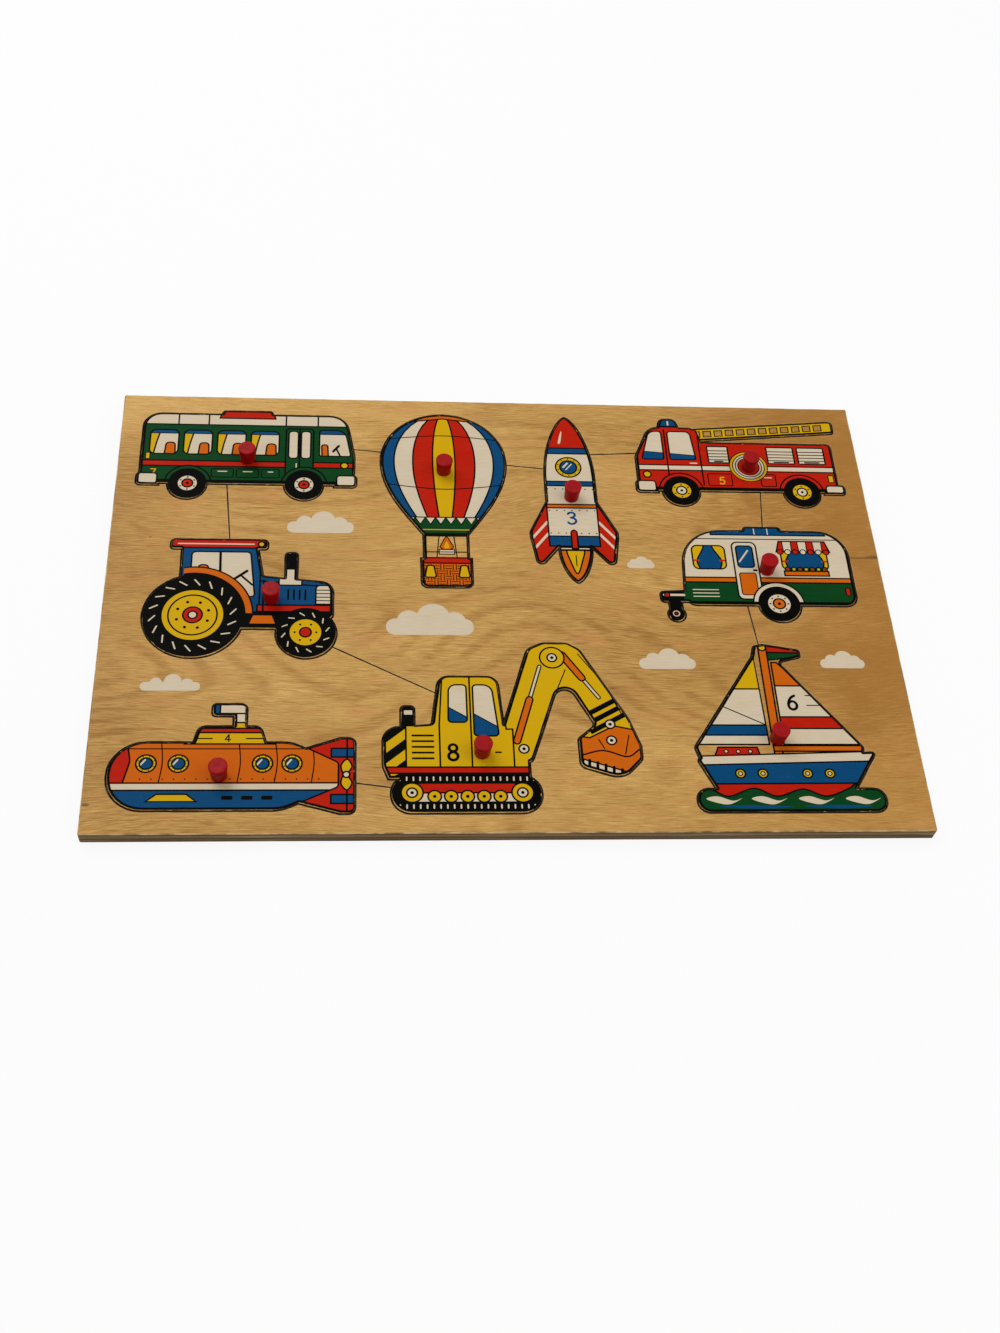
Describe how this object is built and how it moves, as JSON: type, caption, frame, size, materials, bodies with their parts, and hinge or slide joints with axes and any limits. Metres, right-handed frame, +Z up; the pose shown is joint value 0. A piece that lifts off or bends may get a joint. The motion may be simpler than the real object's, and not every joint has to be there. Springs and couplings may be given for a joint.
{
  "type": "peg puzzle",
  "caption": "Wooden lift-out puzzle: a flat board with sawn openings that hold vehicle shapes, each carried by a red peg.",
  "frame": {"origin": "middle of the underside of the backing board", "axes": "+X along the board's long side, to the player's right; +Y away from the player; +Z up, out of the openings"},
  "size_m": [0.42, 0.28, 0.018],
  "materials": {
    "veneer": "varnished birch plywood",
    "backing": "unvarnished plywood",
    "green_print": "screen printed in glossy inks, mostly green",
    "blue_print": "screen printed in glossy inks, mostly blue",
    "orange_print": "screen printed in glossy inks, mostly orange",
    "yellow_print": "screen printed in glossy inks, mostly yellow",
    "white_print": "screen printed in glossy inks, mostly off-white",
    "red_print": "screen printed in glossy inks, mostly red",
    "peg_red": "satin red lacquer on turned wood"
  },
  "bodies": {
    "board": {"frame_board": "veneer", "backing_board": "backing"},
    "bus": {"bus_piece": "green_print", "bus_peg": "peg_red"},
    "tractor": {"tractor_piece": "blue_print", "tractor_peg": "peg_red"},
    "submarine": {"submarine_piece": "orange_print", "submarine_peg": "peg_red"},
    "balloon": {"balloon_piece": "yellow_print", "balloon_peg": "peg_red"},
    "rocket": {"rocket_piece": "white_print", "rocket_peg": "peg_red"},
    "digger": {"digger_piece": "yellow_print", "digger_peg": "peg_red"},
    "fire_engine": {"fire_engine_piece": "red_print", "fire_engine_peg": "peg_red"},
    "caravan": {"caravan_piece": "white_print", "caravan_peg": "peg_red"},
    "sailboat": {"sailboat_piece": "blue_print", "sailboat_peg": "peg_red"}
  },
  "joints": [
    {"name": "bus_lift", "type": "slide", "parent": "board", "child": "bus", "axis": [0, 0, 1], "range_m": [0, 0.03]},
    {"name": "tractor_lift", "type": "slide", "parent": "board", "child": "tractor", "axis": [0, 0, 1], "range_m": [0, 0.03]},
    {"name": "submarine_lift", "type": "slide", "parent": "board", "child": "submarine", "axis": [0, 0, 1], "range_m": [0, 0.03]},
    {"name": "balloon_lift", "type": "slide", "parent": "board", "child": "balloon", "axis": [0, 0, 1], "range_m": [0, 0.03]},
    {"name": "rocket_lift", "type": "slide", "parent": "board", "child": "rocket", "axis": [0, 0, 1], "range_m": [0, 0.03]},
    {"name": "digger_lift", "type": "slide", "parent": "board", "child": "digger", "axis": [0, 0, 1], "range_m": [0, 0.03]},
    {"name": "fire_engine_lift", "type": "slide", "parent": "board", "child": "fire_engine", "axis": [0, 0, 1], "range_m": [0, 0.03]},
    {"name": "caravan_lift", "type": "slide", "parent": "board", "child": "caravan", "axis": [0, 0, 1], "range_m": [0, 0.03]},
    {"name": "sailboat_lift", "type": "slide", "parent": "board", "child": "sailboat", "axis": [0, 0, 1], "range_m": [0, 0.03]}
  ]
}
